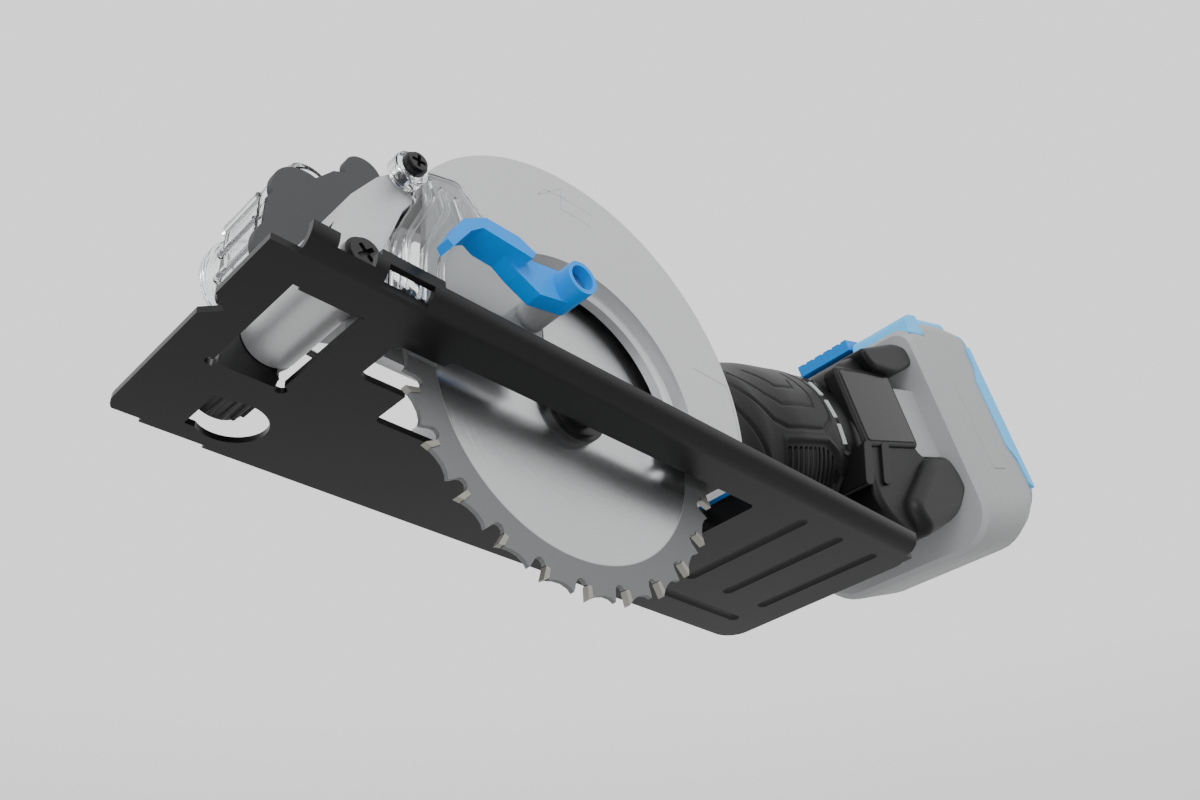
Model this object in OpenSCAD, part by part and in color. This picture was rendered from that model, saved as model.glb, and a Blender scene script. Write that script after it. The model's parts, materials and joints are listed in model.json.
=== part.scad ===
// Compact track plunge saw: stamped sole, front-pivoted cast head, inline motor grip and slide-on battery.
// +X points forward along the cut, +Y to the blade side, +Z up. The origin lies on the sole's underside,
// in the blade's plane, straight below the arbor when the saw is fully plunged.

/* [Blade] */
// Diameter over the carbide tips
blade_d = 100; // [90:1:104]
// Number of teeth
teeth = 24; // [18:1:30]
// Thickness of the blade's body
body_t = 1.2; // [0.8:0.1:1.6]
// Width of the carbide tips, which is the kerf
kerf = 1.8; // [1.6:0.1:2.2]
// Diameter of the arbor bore
bore_d = 10; // [8:0.5:12]
// Height of the arbor above the sole's underside at full plunge
arbor_z = 7.4; // [7:0.1:12]

/* [Sole] */
// Distance from the arbor to the sole's front edge
sole_front = 88; // [84:1:110]
// Distance from the arbor to the sole's rear edge
sole_rear = 125; // [100:1:160]
// Distance from the blade to the sole's far edge
sole_far = 58; // [54:1:80]
// Distance from the blade to the start of the near edge's bend
sole_near = 14; // [13:0.5:20]
// Sheet thickness
sheet_t = 1.6; // [1.2:0.1:2]
// Outer radius of the near edge's bend
bend_r = 4.5; // [3.5:0.1:5.5]
// Height of the near flange above the underside
flange_h = 5.4; // [5:0.1:8]
// Radius of the sole's corners
corner_r = 7; // [3:0.5:10]

/* [Plunge pivot] */
// Distance of the plunge axis in front of the arbor
pivot_x = 65.5; // [64:0.5:70]
// Height of the plunge axis above the underside
pivot_z = 12; // [11:0.5:14]
// Diameter of the pivot pin
pin_d = 6; // [5:0.5:7]
// Outer diameter of the head's hinge barrel
barrel_d = 15; // [13:0.5:17]
// Radial running clearance of pins and shafts
run_c = 0.05; // [0.02:0.01:0.1]
// Side gap between neighbouring moving faces
side_c = 0.3; // [0.2:0.05:0.5]

/* [Guard] */
// Gap between the tips and the guard's rim
tip_gap = 4.5; // [3:0.1:7]
// Wall thickness of the cast guard
guard_wall = 3; // [2.5:0.1:4]
// Distance from the blade to the guard's near face
guard_near = 8; // [7:0.5:11]
// Distance from the blade to the guard's far face
guard_far = 9; // [8:0.5:12]
// Radius of the round opening in the near face
mouth_r = 37; // [33:0.5:40]
// Radius of the inner ring inside that opening
ring_r = 31; // [28:0.5:32]

/* [Gear case] */
// Distance of the motor axis behind the blade
motor_y = 26; // [24:1:30]
// Rise of the motor axis toward the rear, in degrees
tilt = 20.5; // [14:0.5:24]
// Outer radius of the gear case around the arbor
case_r = 18; // [17.5:0.5:20]
// Diameter of the output spindle
spindle_d = 10; // [9:0.5:12]
// Diameter of the motor shaft
motor_shaft_d = 5; // [4:0.5:6]

/* [Grip] */
// Outer radius of the motor grip
grip_r = 29; // [27:0.5:32]
// Shell thickness of the grip and the battery
shell_t = 2.4; // [2:0.1:3]
// Where the grip starts, along the motor axis from the arbor
grip_start = 64; // [63:1:67]
// Where the battery foot's back face lies along the motor axis
foot_s = 170; // [166:1:180]

/* [Battery] */
// Battery length across the motor axis
batt_l = 92; // [86:1:110]
// Battery width along the blade's axis
batt_w = 76; // [70:1:84]
// Battery depth along the motor axis
batt_h = 62; // [50:1:70]

/* [Hidden] */
$fn = 64;
e = 0.01;

// Outer and inner radii of the guard, which is centred a little above the arbor
blade_r = blade_d / 2;
guard_lift = 10.6;
guard_cx = 0.5;
guard_cz = arbor_z + guard_lift;
guard_in = blade_r + tip_gap;
guard_out = guard_in + guard_wall;

// Flange on the near long edge
flange_y = sole_near + bend_r;
flange_x0 = -(sole_rear - 4);
flange_x1 = sole_front - 6;

// Pivot ears bent up out of the front window
win_x0 = pivot_x - 4;
win_x1 = pivot_x + 12.5;
win_y0 = -26.5;
win_y1 = 5.5;
ear_far = win_y0;
ear_near = win_y1 - sheet_t;
barrel_far = ear_far + side_c;
barrel_near = ear_near - side_c;
near_cheek = win_y1 + side_c;
pin_r = pin_d / 2;
barrel_r = barrel_d / 2;
spacer_end = -37;
knob_end = -50;

// Slot for the blade
half_chord = sqrt(blade_r * blade_r - arbor_z * arbor_z);
slot_far = -24;
slot_near = 5;
slot_front = half_chord - 10.5;
slot_rear = -(half_chord + 13);

// Bearings, gears and the arbor stack
flange_disc_r = 10;
flange_t = 1.6;
bolt_head_r = 6.5;
brg_od = 19;
brg_w = 5;
small_brg_od = 16;
small_brg_w = 5;
needle_od = 8;
needle_w = 4;
ring_pitch = 12.5;
ring_teeth = 32;
pinion_teeth = 16;
pinion_pitch = ring_pitch * pinion_teeth / ring_teeth;
gear_face = 5;
gear_gap = 0.3;
mesh_y = -motor_y + pinion_pitch;
ring_back = -guard_far - brg_w - 0.4;
neck_r = motor_y - guard_far - 0.2;
neck_end = grip_start + 4;
case_far = -(motor_y + neck_r + 0.2);
spindle_neck_r = spindle_d / 2 - 1.5;
spindle_tail_r = spindle_d / 4;
needle_far = -motor_y - 1;
cap_screw_r = case_r - 2.6;
cap_screw_angles = [5, 60, 120, 175];
gear_floor = sheet_t + 1.2;

// Motor
stator_s0 = grip_start + 13;
stator_s1 = stator_s0 + 34;
stator_r = grip_r - shell_t;
bore_r = 13;
fan_s = neck_end + 1.5;
shaft_start = ring_pitch - gear_face / 2;
shaft_end = stator_s1 + 10;
trigger_s = stator_s1 + 2;
trigger_l = 17;
lock_s = shaft_end + 8;
grip_screw_at = [grip_start + 5, shaft_end + 5];

// Battery foot and battery
foot_w = 70;
foot_start = 138;
neck_up = 16;
neck_dn = -12;
badge_s = foot_start;
badge_l = 30;
badge_t0 = -7;
badge_t1 = 19;
badge_deep = 1.2;
gauge_s = badge_s - 10;
contact_t = [-5, 2, 9];
batt_s0 = foot_s + 21;
batt_split = batt_s0 + 14;
batt_top = batt_l / 2 - 1;
latch_t = batt_top - 2.6;

// Lock lever and its post
post_x = 19.6;
post_z = 20;
post_r = 4;
plate_y = guard_near - 2.4;
post_top = guard_near + 9;
lever_y = post_top + side_c;
lever_top = lever_y + 9.7;
lever_seat = lever_y + 4;

// Chip duct and dust port
arm_far = -30;
plate_t = 2.4;
port_r = 12;
port_far = -64;
port_x = pivot_x - 11;
port_z = pivot_z + 44;
cover_screw_at = [[pivot_x - 9.5, guard_cz + 24.5]];
rear_screw_x = guard_cx - guard_out + 0.6;
rear_screw_z = arbor_z + 6;
stop_y = -12;
stop_z = 4.4;

// Saw teeth: one pitch of the outline as [share of the pitch, depth below the tip circle]
tooth_profile = [
    [0, 0.9], [0.14, 1.7], [0.32, 2.1], [0.48, 1.7], [0.57, 0.8], [0.6, 1.8], [0.635, 3.6], [0.69, 4.7],
    [0.78, 5], [0.85, 4.6], [0.885, 3.75], [0.9995, 3.7]
];
// Turn of the first tooth from straight ahead, as a share of the pitch
tooth_phase = 0.29;
pitch_angle = 360 / teeth;

// --- helpers -------------------------------------------------------------------------------

// Extrudes an X-Z outline between two depths along Y
module along_y(y0, y1) {
    translate([0, y1, 0]) rotate([90, 0, 0]) linear_extrude(y1 - y0) children();
}

// A round bar along Y
module rod_y(x, z, r, y0, y1) {
    translate([x, y1, z]) rotate([90, 0, 0]) cylinder(r = r, h = y1 - y0);
}

// A ring along Y
module tube_y(x, z, r_out, r_in, y0, y1) {
    difference() {
        rod_y(x, z, r_out, y0, y1);
        rod_y(x, z, r_in, y0 - 1, y1 + 1);
    }
}

// Local frame of the motor: Z along the motor axis to the rear, X up across it, Y to the blade side
module motor_frame() {
    translate([0, -motor_y, arbor_z]) rotate([0, tilt - 90, 0]) children();
}

// A ring around the motor axis
module motor_ring(r_out, r_in, s0, s1) {
    motor_frame() translate([0, 0, s0]) difference() {
        cylinder(r = r_out, h = s1 - s0);
        translate([0, 0, -1]) cylinder(r = r_in, h = s1 - s0 + 2);
    }
}

// Rounded rectangle between two corners
module soft_rect(x0, y0, x1, y1, r) {
    translate([x0 + r, y0]) square([x1 - x0 - 2 * r, y1 - y0]);
    translate([x0, y0 + r]) square([x1 - x0, y1 - y0 - 2 * r]);
    for (x = [x0 + r, x1 - r], y = [y0 + r, y1 - r]) translate([x, y]) circle(r);
}

// A block with its four long edges rounded, extruded along Z
module soft_block(x0, y0, z0, x1, y1, z1, r) {
    translate([0, 0, z0]) linear_extrude(z1 - z0) soft_rect(x0, y0, x1, y1, r);
}

// Pan-head screw along Y with a cross recess, its head toward +Y
module pan_screw(x, z, y_seat, length, head_r = 3, shank_r = 1.5) {
    head_h = head_r * 0.75;
    recess = head_r * 0.3;
    difference() {
        union() {
            rod_y(x, z, head_r, y_seat, y_seat + head_h * 0.6);
            rod_y(x, z, head_r * 0.8, y_seat, y_seat + head_h);
            rod_y(x, z, shank_r, y_seat - length, y_seat + e);
        }
        for (a = [0, 90]) translate([x, y_seat + head_h, z]) rotate([0, a, 0])
            cube([head_r * 1.2, head_h, recess], center = true);
    }
}

// --- sole ----------------------------------------------------------------------------------

module sole_outline() {
    difference() {
        union() {
            soft_rect(-sole_rear, -sole_far, sole_front, sole_near, corner_r);
            translate([-sole_rear + 1, 0]) square([sole_rear + sole_front - 1, sole_near]);
        }
        // stepped far edge toward the front and a notch in the front edge
        translate([pivot_x - 2, -sole_far - 1]) square([40, 2.2]);
        translate([pivot_x + 14, -sole_far - 1]) square([40, 3.6]);
        translate([sole_front + 1, -10]) rotate(45) square(7, center = true);
    }
}

// Bend and upright of the near edge between two X positions, up to a height
module near_flange(x0, x1, h) {
    translate([x0, 0, 0]) rotate([90, 0, 90]) linear_extrude(x1 - x0) {
        intersection() {
            translate([sole_near, bend_r]) difference() {
                circle(bend_r);
                circle(bend_r - sheet_t);
            }
            translate([sole_near - e, 0]) square([bend_r + 1, min(h, bend_r)]);
        }
        if (h > bend_r) translate([flange_y - sheet_t, bend_r - e]) square([sheet_t, h - bend_r + e]);
    }
}

// Ear outline around the pivot, in X-Z
module ear_outline(x0, x1, top_r) {
    difference() {
        union() {
            translate([pivot_x, pivot_z]) circle(top_r);
            translate([x0, sheet_t / 2]) square([x1 - x0, pivot_z - sheet_t / 2]);
            translate([pivot_x, pivot_z - e]) square([top_r * 0.8, top_r * 0.6]);
        }
        translate([pivot_x, pivot_z]) circle(pin_r);
        translate([pivot_x - 30, -20 + sheet_t / 2]) square([60, 20]);
    }
}

// A pressed bead along Y: a groove below and a ridge above
module bead_y(x, y0, y1, r) {
    rod_y(x, 0, r, y0, y1);
    for (y = [y0, y1]) translate([x, y, 0]) sphere(r);
}

module bead_x(y, x0, x1, r) {
    translate([x0, y, 0]) rotate([0, 90, 0]) cylinder(r = r, h = x1 - x0);
    for (x = [x0, x1]) translate([x, y, 0]) sphere(r);
}

module beads(r) {
    bead_count = 3;
    bead_pitch = 16.5;
    for (i = [0 : bead_count - 1])
        bead_y(-sole_rear + 12 + i * bead_pitch, -34, 7, r);
    bead_x(-46, -sole_rear + 12, -sole_rear + 45, r);
}

module sole_windows() {
    // front window under the hinge barrel, with relief holes at the far ear's bend
    translate([win_x0, win_y0, -1]) cube([win_x1 - win_x0, win_y1 - win_y0, sheet_t + 2]);
    for (x = [win_x0, win_x1]) translate([x, win_y0, -1]) cylinder(r = 1.4, h = sheet_t + 2);
    // half-round window under the clamp knob
    translate([pivot_x - 2, -44.5, -1]) linear_extrude(sheet_t + 2) difference() {
        union() {
            circle(8.5);
            translate([0, -6.5]) square([8, 14]);
        }
        translate([8, -9]) square([9, 20]);
    }
    // blade slot with a narrower nose for the front of the blade
    translate([slot_rear, slot_far, -1]) linear_extrude(sheet_t + 2)
        soft_rect(0, 0, slot_front - slot_rear, slot_near - slot_far, 1.5);
    translate([slot_front - 2, -12, -1]) linear_extrude(sheet_t + 2)
        soft_rect(0, 0, half_chord + 4 - slot_front, 14.5, 2.5);
}

// Lip bent up at the slot's rear end, which carries the stop screw
module slot_lip() {
    translate([slot_rear - sheet_t + e, slot_far + 3, 0])
        cube([sheet_t, slot_near - slot_far - 5, stop_z + 2.6]);
}

module stop_bar(r) {
    translate([slot_rear - 3, stop_y, stop_z]) rotate([0, 90, 0]) cylinder(r = r, h = 12);
}

module stop_screw() {
    color("#26272a") stop_bar(1.5);
}

module base_plate() {
    bead_r = 2.2;
    bead_depth = 0.9;
    color("#1c1d1f") difference() {
        union() {
            difference() {
                linear_extrude(sheet_t) sole_outline();
                sole_windows();
            }
            near_flange(flange_x0, flange_x1 - 14.5, flange_h);
            near_flange(flange_x1 - 14.5, flange_x1 - 6, 2.1);
            near_flange(flange_x1 - 6, flange_x1, flange_h);
            near_flange(flange_x1 - 31, flange_x1 - 15.5, flange_h + 1.6);
            along_y(ear_far - sheet_t, ear_far) ear_outline(win_x0 + 1.4, win_x1 - 1.4, 7.4);
            along_y(ear_near, ear_near + sheet_t) ear_outline(win_x0 + 0.6, win_x1 - 2, 7.4);
            translate([win_x0 + 1.4, ear_far - sheet_t, 0]) cube([win_x1 - win_x0 - 2.8, sheet_t + e, sheet_t]);
            slot_lip();
            translate([0, 0, -bead_r + bead_depth + sheet_t * 0.6]) intersection() {
                beads(bead_r);
                translate([-sole_rear, -sole_far, 0.4]) cube([60, 80, 10]);
            }
        }
        translate([0, 0, -bead_r + bead_depth]) beads(bead_r);
        stop_bar(1.5);
        // window through the near bend
        translate([flange_x1 - 28.5, sole_near + 1.4, -1]) cube([11, bend_r + 2, 5.2]);
    }
}

module pivot_pin() {
    head_h = 2.2;
    color("#26272a") difference() {
        union() {
            rod_y(pivot_x, pivot_z, pin_r, knob_end + 3.4, guard_near + 0.6);
            rod_y(pivot_x, pivot_z, 4.4, guard_near + 0.6, guard_near + 0.6 + head_h * 0.5);
            rod_y(pivot_x, pivot_z, 3.6, guard_near + 0.6, guard_near + 0.6 + head_h);
        }
        for (a = [0, 90]) translate([pivot_x, guard_near + 0.6 + head_h, pivot_z]) rotate([0, a + 45, 0])
            cube([4.6, 2.2, 1.1], center = true);
    }
}

module pivot_spacer() {
    color("#55585c") tube_y(pivot_x, pivot_z, 5, pin_r, spacer_end, ear_far - sheet_t);
}

module clamp_knob() {
    ribs = 18;
    knob_r = 8.6;
    color("#202123") difference() {
        union() {
            rod_y(pivot_x, pivot_z, knob_r, knob_end, spacer_end - side_c);
            for (i = [0 : ribs - 1]) rotate_about_pivot(i * 360 / ribs)
                rod_y(pivot_x + knob_r, pivot_z, 0.7, knob_end + 1, spacer_end - side_c - 1);
        }
        rod_y(pivot_x, pivot_z, pin_r + run_c, knob_end + 3, spacer_end + 1);
    }
}

module rotate_about_pivot(a) {
    translate([pivot_x, 0, pivot_z]) rotate([0, a, 0]) translate([-pivot_x, 0, -pivot_z]) children();
}

// Torsion spring: a helix around the spacer, swept as one polyhedron
function spring_point(u, turns, pitch, r) = [
    pivot_x + r * cos(u * turns * 360),
    -(sheet_t - ear_far) - 1.2 - u * turns * pitch,
    pivot_z + r * sin(u * turns * 360)
];
module return_spring() {
    turns = 3;
    pitch = 1.9;
    coil_r = 6.3;
    wire_r = 0.6;
    rings = 60;
    sides = 8;
    points = [
        for (i = [0 : rings]) let (
            u = i / rings,
            c = spring_point(u, turns, pitch, coil_r),
            a = u * turns * 360,
            out = [cos(a), 0, sin(a)]
        )
        for (j = [0 : sides - 1]) let (b = j * 360 / sides) c + wire_r * (cos(b) * out + sin(b) * [0, 1, 0])
    ];
    sides_faces = [
        for (i = [0 : rings - 1], j = [0 : sides - 1])
            let (a = i * sides + j, b = i * sides + (j + 1) % sides) [a, b, b + sides, a + sides]
    ];
    ends = [[for (j = [sides - 1 : -1 : 0]) j], [for (j = [0 : sides - 1]) rings * sides + j]];
    color("#303236") polyhedron(points, concat(sides_faces, ends), convexity = 6);
}

// --- saw head: castings and covers ---------------------------------------------------------

module guard_disc(r) {
    translate([guard_cx, guard_cz]) circle(r);
}

// Everything the guard keeps, down to just above the sole
module above_sole(clear = 1.5) {
    translate([-150, sheet_t + clear]) square([300, 300]);
}

// Side outline of the cast arm that joins the guard to the hinge barrel
module arm_outline() {
    polygon([
        [pivot_x + barrel_r * 0.9, pivot_z + barrel_r * 0.45], [pivot_x + 3, pivot_z + 17],
        [pivot_x - 3, pivot_z + 26], [pivot_x - 9, pivot_z + 32], [pivot_x - 24, pivot_z + 36],
        [pivot_x - 26, pivot_z + 12], [pivot_x - barrel_r * 0.7, pivot_z + barrel_r * 0.7]
    ]);
}

module arm_hollow() {
    polygon([
        [pivot_x - 1.5, pivot_z + 15], [pivot_x - 6, pivot_z + 24], [pivot_x - 11, pivot_z + 28.5],
        [pivot_x - 30, pivot_z + 32], [pivot_x - 30, pivot_z + 11.5]
    ]);
}

// Sector of the near face that the clear cover fills
module cover_sector() {
    polygon([
        [pivot_x - 8, guard_cz + 27.5], [pivot_x - 24, guard_cz + 32], [pivot_x - 34, guard_cz + 23.5],
        [pivot_x - 44, guard_cz + 12], [pivot_x - 50, guard_cz + 3], [pivot_x - 50, sheet_t - 2],
        [pivot_x - 7, sheet_t - 2], [pivot_x - 7, guard_cz + 4], [pivot_x - 10, guard_cz + 14],
        [pivot_x - 13, guard_cz + 19]
    ]);
}

// Rear part of the near face that the bolted panel fills
module panel_sector(c = 0) {
    intersection() {
        translate([-guard_out - 5, sheet_t + 1.5 - c]) square([guard_out - 35 + 0.2, guard_cz + 12.5 + 2 * c]);
        difference() {
            guard_disc(guard_out - 1.2 + c);
            translate([guard_cx, arbor_z + 1.6]) circle(mouth_r + 3.2 - c);
        }
    }
}

// Stepped lip around the mouth, from the near face down to the inner ring
module mouth_lip() {
    translate([guard_cx, 0, arbor_z + 1.6]) rotate([90, 0, 0]) rotate_extrude()
        polygon([
            [ring_r, -5.6], [ring_r, -3], [ring_r + 2.6, -3], [ring_r + 4.4, -3], [mouth_r + 2, -3],
            [mouth_r + 2, -guard_near], [mouth_r, -guard_near], [mouth_r - 0.6, -4.4],
            [mouth_r - 2, -3.8], [ring_r + 2.6, -5.6], [ring_r + 1.4, -6.2]
        ]);
}

module upper_guard() {
    face_in = guard_near - 2.4;
    mouth_z = arbor_z + 1.6;
    color("#c9cbcd") union() {
        difference() {
            union() {
                along_y(-guard_far, guard_near) intersection() {
                    guard_disc(guard_out);
                    above_sole();
                }
                // cast arm and chip duct across the front
                along_y(arm_far, guard_near - 0.2) arm_outline();
                rod_y(pivot_x, pivot_z, barrel_r, barrel_far, barrel_near);
                rod_y(pivot_x, pivot_z, 6, near_cheek, guard_near + 0.3);
            }
            // blade space, and the chip duct that leads out of it to the far side
            along_y(-guard_far + guard_wall, face_in) guard_disc(guard_in);
            along_y(arm_far - 1, face_in - 0.5) arm_hollow();
            // mouth in the near face, and the seats of the clear cover and the rear panel
            rod_y(guard_cx, mouth_z, mouth_r + 0.5, face_in - 1, guard_near + 1);
            along_y(face_in - 1.5, guard_near + 1) cover_sector();
            along_y(guard_near - 1.2, guard_near + 1) panel_sector(0.15);
            // room for the pivot ears and the bore for the pivot bush
            rod_y(pivot_x, pivot_z, 10.5, barrel_near, near_cheek);
            rod_y(pivot_x, pivot_z, 10.5, arm_far - 1, barrel_far);
            rod_y(pivot_x, pivot_z, pin_r + 1.2, barrel_far - 1, barrel_near + 1);
            rod_y(pivot_x, pivot_z, pin_r + run_c, near_cheek - 1, guard_near + 1);
            // spindle passage in the far wall, and screw holes
            rod_y(0, arbor_z, brg_od / 2, -guard_far - 1, -guard_far + guard_wall + 1);
            for (p = cover_screw_at) rod_y(p[0], p[1], 1.5, -6, 20);
            translate([rear_screw_x - 10, 1, rear_screw_z]) rotate([0, 90, 0]) {
                cylinder(r = 1.6, h = 20);
                cylinder(r = 2.7, h = 10);
            }
        }
        intersection() {
            mouth_lip();
            along_y(-1, guard_near + 1) lip_sector();
        }
    }
}

// Part of the mouth's lip that stands clear of the clear cover
module lip_sector() {
    difference() {
        above_sole(2);
        cover_sector();
    }
}

module guard_rear_panel() {
    color("#d2d4d6") along_y(guard_near - 1.2, guard_near) panel_sector(0);
}

module clear_cover() {
    top = guard_near + 2;
    color("#e8f2f5", 0.4) difference() {
        union() {
            along_y(guard_near - 0.4, top) difference() {
                cover_sector();
                translate([-150, -50]) square([300, 50 + sheet_t + 4]);
            }
            for (p = cover_screw_at) rod_y(p[0], p[1], 4.4, guard_near, top + 2);
            // curved ribs beside the front edge
            intersection() {
                for (r = [22, 26, 30]) tube_y(pivot_x - 38, guard_cz - 4, r + 1.2, r, top - e, top + 1.2);
                along_y(top - 1, top + 3) translate([pivot_x - 20, sheet_t + 5]) square([14, 34]);
            }
        }
        for (p = cover_screw_at) rod_y(p[0], p[1], 1.5, -6, 30);
        rod_y(post_x, post_z, post_r, 0, 30);
    }
}

module cover_screws() {
    color("#17181a") for (p = cover_screw_at) pan_screw(p[0], p[1], guard_near + 4, 12, 3, 1.5);
    color("#17181a") translate([rear_screw_x - 1.8, 1, rear_screw_z]) rotate([0, 90, 0]) {
        cylinder(r = 2.6, h = 1.8);
        cylinder(r = 1.6, h = 6);
    }
}

// Dark side plate that carries the dust chute
module plate_outline() {
    x = pivot_x;
    z = pivot_z;
    polygon([
        [x + 3.5, z + 22], [x + 3.5, z + 46], [x - 9, z + 60], [x - 13, z + 65], [x - 17, z + 67],
        [x - 17.5, z + 73], [x - 23, z + 75], [x - 30, z + 71], [x - 38, z + 60],
        [x - 30, z + 40], [x - 20, z + 26], [x - 6, z + 18]
    ]);
    translate([x - 5.5, z + 50.5]) circle(9);
    translate([x - 22, z + 69.5]) circle(6);
    translate([x - 4, z + 30]) circle(10);
}

// Opening in the plate between the chip duct and the chute
module duct_window() {
    translate([pivot_x - 24, pivot_z + 21]) square([15, 7]);
}

module chute_plate() {
    color("#3a3b3d") along_y(arm_far - plate_t, arm_far) difference() {
        plate_outline();
        duct_window();
    }
}

module chute_outline(inset) {
    x = pivot_x + 5 - inset;
    z = pivot_z;
    polygon([
        [x, z + 22 + inset], [x, z + 48 - inset * 0.4], [x - 9, z + 64 - inset], [x - 13, z + 66 - inset],
        [x - 34 + 2 * inset, z + 58 - inset], [x - 34 + 2 * inset, z + 18 + inset]
    ]);
}

module dust_chute() {
    near = arm_far - plate_t;
    box_far = port_far + 14;
    color("#e8f2f5", 0.4) difference() {
        union() {
            along_y(box_far, near) chute_outline(0);
            rod_y(port_x, port_z, port_r + 2, port_far, box_far + 1);
        }
        along_y(box_far + 2, near + 1) chute_outline(2);
        rod_y(port_x, port_z, port_r, port_far - 1, box_far + 3);
    }
}

module pivot_bush() {
    color("#b08d57") tube_y(pivot_x, pivot_z, pin_r + 1.2, pin_r + run_c, barrel_far, barrel_near);
}

// --- lock lever ----------------------------------------------------------------------------

module lever_post() {
    color("#9a9c9e") difference() {
        union() {
            rod_y(post_x, post_z, post_r, plate_y, post_top);
            along_y(plate_y, guard_near - 0.4) intersection() {
                cover_sector();
                translate([0, sheet_t + 4]) square([pivot_x - 16, 60]);
            }
        }
        rod_y(post_x, post_z, 2, plate_y + 1.5, post_top + 1);
    }
}

module lock_lever() {
    hub_r = post_r + 0.3;
    web_w = 4.7;
    finger_w = 8.2;
    // side view of the finger plate and of the web that joins it to the hub
    finger = [
        [12.4, 1], [17.4, 3], [26.4, 3], [32.4, -1], [36.4, -9], [34.8, -10], [30.4, -3.2], [27.2, -0.4], [13.4, -1]
    ];
    web = [[0, -hub_r], [0, hub_r], [14, 1.6], [19, -0.5], [14.4, -3.4], [8.4, -6.2]];
    // plan of the finger: its far edge runs in toward the tip
    plan = [[8, 0], [24, 0], [37, 4.6], [37, finger_w], [8, finger_w]];
    color("#1d8fd6") difference() {
        union() {
            rod_y(post_x, post_z, hub_r, lever_y, lever_top);
            along_y(lever_y, lever_y + web_w) translate([post_x, post_z]) polygon(web);
            intersection() {
                along_y(lever_y, lever_y + finger_w) translate([post_x, post_z]) polygon(finger);
                translate([post_x, lever_y, 0]) linear_extrude(post_z + 10) polygon(plan);
            }
        }
        rod_y(post_x, post_z, 2 + run_c, lever_y - 1, lever_top + 1);
        rod_y(post_x, post_z, 3.2, lever_seat, lever_top + 1);
    }
}

module lever_screw() {
    head_y = lever_seat + 0.3;
    color("#6d7074") {
        rod_y(post_x, post_z, 2, plate_y + 1.5, head_y + e);
        difference() {
            rod_y(post_x, post_z, 2.9, head_y, head_y + 2.4);
            along_y(head_y + 1, head_y + 3) translate([post_x, post_z]) circle(1.5, $fn = 6);
        }
    }
}

// --- gear case -----------------------------------------------------------------------------

// Space that the fixed sole needs below the gear case
module below_sole(lift) {
    translate([-200, -200, -100]) cube([400, 200 + slot_far + 1.2, 100 + gear_floor + lift]);
}

module gear_case() {
    color("#b9bcc0") difference() {
        union() {
            rod_y(0, arbor_z, case_r, case_far, -guard_far);
            motor_frame() cylinder(r = neck_r, h = neck_end);
        }
        below_sole(0);
        // bearing seats of the spindle, and the ring gear's space
        rod_y(0, arbor_z, brg_od / 2, -guard_far - brg_w, -guard_far + 1);
        rod_y(0, arbor_z, needle_od / 2, needle_far, mesh_y);
        rod_y(0, arbor_z, ring_pitch + gear_face / 2 + 1, mesh_y - 1.6, -guard_far - brg_w);
        // one stepped bore: pinion's space, motor shaft and front bearing
        motor_frame() rotate_extrude() polygon([
            [0, shaft_start - 0.8], [7.8, shaft_start - 0.8], [7.8, shaft_start + 10],
            [motor_shaft_d / 2 + 2, shaft_start + 10], [motor_shaft_d / 2 + 2, neck_end - small_brg_w],
            [small_brg_od / 2, neck_end - small_brg_w], [small_brg_od / 2, neck_end + 1], [0, neck_end + 1]
        ]);
        // far opening that the cap closes
        difference() {
            rod_y(0, arbor_z, case_r - 5, case_far - 1, case_far + 10);
            below_sole(1.4);
        }
        cap_screw_set(1.5, case_far - 1, case_far + 6);
        // spindle lock's bore, down through the top
        lock_frame() cylinder(r = 3 + run_c, h = 40);
    }
}

// The cap's screws as rods of one radius
module cap_screw_set(r, y0, y1) {
    for (a = cap_screw_angles) rod_y(cap_screw_r * cos(a), arbor_z + cap_screw_r * sin(a), r, y0, y1);
}

module gear_case_cap() {
    color("#c4c6c8") difference() {
        union() {
            rod_y(0, arbor_z, case_r, case_far - 3, case_far);
            rod_y(0, arbor_z, case_r - 5.05, case_far - e, case_far + 1.5);
        }
        below_sole(0);
        // the plug stays inside the case's flat floor
        difference() {
            below_sole(1.45);
            rod_y(0, arbor_z, case_r + 1, case_far - 4, case_far);
        }
        cap_screw_set(1.5, case_far - 5, case_far + 3);
    }
}

module cap_screws() {
    color("#2a2b2d") difference() {
        union() {
            cap_screw_set(1.5, case_far - 3 - e, case_far + 6);
            cap_screw_set(2.5, case_far - 5, case_far - 3);
        }
        for (a = cap_screw_angles) along_y(case_far - 6, case_far - 4)
            translate([cap_screw_r * cos(a), arbor_z + cap_screw_r * sin(a)]) circle(1.3, $fn = 6);
    }
}

module spindle_bearing_near() {
    color("#a5a8ab") tube_y(0, arbor_z, brg_od / 2, spindle_d / 2 + run_c, -guard_far - brg_w, -guard_far);
}

module spindle_bearing_far() {
    color("#a5a8ab") tube_y(0, arbor_z, needle_od / 2, spindle_tail_r + run_c, needle_far, needle_far + needle_w);
}

// --- arbor: blade and spindle --------------------------------------------------------------

module blade() {
    outline = [
        for (k = [0 : teeth - 1], p = tooth_profile) let (
            a = -(k + p[0] + tooth_phase) * pitch_angle,
            r = blade_r - p[1]
        ) [r * cos(a), r * sin(a)]
    ];
    color("#b4b7ba") translate([0, 0, arbor_z]) along_y(-body_t / 2, body_t / 2) difference() {
        polygon(outline);
        circle(bore_d / 2);
    }
}

module carbide_tips() {
    tip_l = 3.6;
    tip_w = 1.5;
    color("#8a8474") for (k = [0 : teeth - 1])
        translate([0, 0, arbor_z]) along_y(-kerf / 2, kerf / 2) rotate(-(k + tooth_phase) * pitch_angle)
            translate([blade_r - tip_l, 0.03]) polygon([[0, 0], [tip_l - 1.05, 0], [tip_l, tip_w], [0, tip_w * 0.8]]);
}

module inner_flange() {
    color("#4a4d51") tube_y(0, arbor_z, flange_disc_r, spindle_neck_r, -body_t / 2 - flange_t - 2, -body_t / 2);
}

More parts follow.
